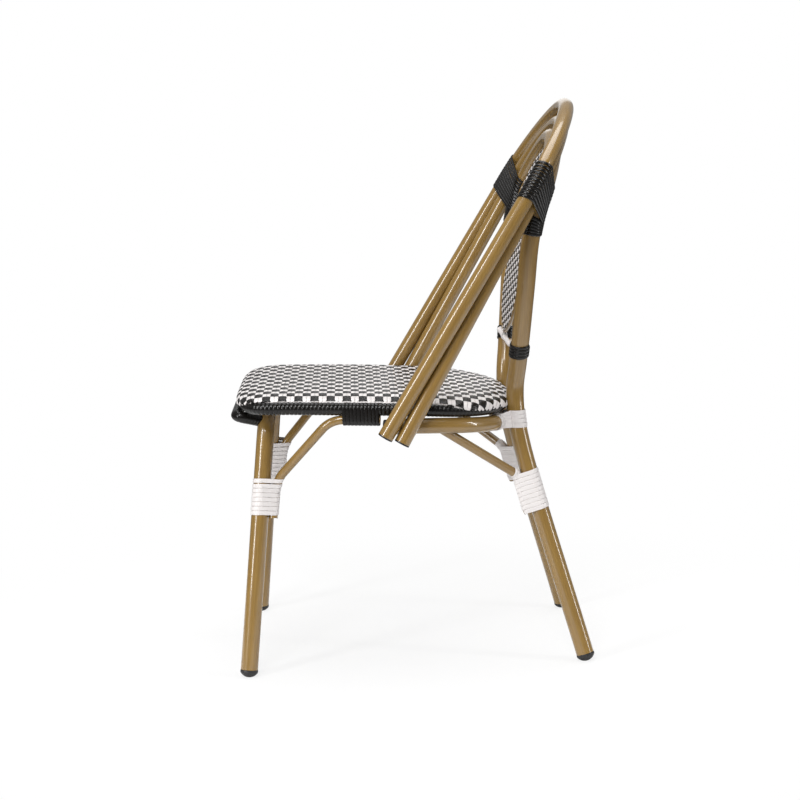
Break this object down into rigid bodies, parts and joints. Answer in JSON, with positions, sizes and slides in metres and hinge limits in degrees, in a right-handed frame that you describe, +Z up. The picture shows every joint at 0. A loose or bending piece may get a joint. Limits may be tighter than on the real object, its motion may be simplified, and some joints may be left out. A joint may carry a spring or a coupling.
{
  "type": "bistro side chair",
  "caption": "Bistro side chair with bent bamboo-look tubes, arched nested back hoops and a black and white woven seat and back panel.",
  "frame": {"origin": "on the floor under the centre of the chair", "axes": "+Z up; the sitter faces -Y; +X at the sitter's left"},
  "size_m": [0.5036, 0.5567, 0.8795],
  "materials": {
    "paint": "gloss",
    "rim_paint": "gloss",
    "black_wicker": "satin",
    "seat_wicker": "satin",
    "white_wicker": "satin",
    "black_plastic": "matte"
  },
  "bodies": {
    "root": {"front_leg_frame": "paint", "rear_hoop": "paint", "outer_brace_hoop": "paint", "inner_brace_hoop": "paint", "seat_ring": "paint", "front_rail": "paint", "seat_rail": "paint", "front_brace_left": "paint", "front_brace_right": "paint", "rear_brace_left": "paint", "rear_brace_right": "paint", "cross_bar": "paint", "seat_front_binding": "black_wicker", "seat_rear_binding": "black_wicker", "front_rail_binding": "black_wicker", "shoulder_lashing_left": "black_wicker", "shoulder_lashing_right": "black_wicker", "upright_band_left": "black_wicker", "upright_band_right": "black_wicker", "side_wrap_left": "black_wicker", "side_wrap_right": "black_wicker", "seat_weave": "seat_wicker", "back_weave": "white_wicker", "cross_bar_binding": "white_wicker", "front_leg_wrap_left": "white_wicker", "front_leg_wrap_right": "white_wicker", "rear_leg_wrap_left": "white_wicker", "rear_leg_wrap_right": "white_wicker", "rail_wrap_left": "white_wicker", "rail_wrap_right": "white_wicker", "back_rim": "rim_paint", "front_glide_left": "black_plastic", "front_glide_right": "black_plastic", "rear_glide_left": "black_plastic", "rear_glide_right": "black_plastic", "outer_hoop_cap_left": "black_plastic", "outer_hoop_cap_right": "black_plastic", "inner_hoop_cap_left": "black_plastic", "inner_hoop_cap_right": "black_plastic", "seat_rail_cap_left": "black_plastic", "seat_rail_cap_right": "black_plastic"}
  },
  "joints": []
}
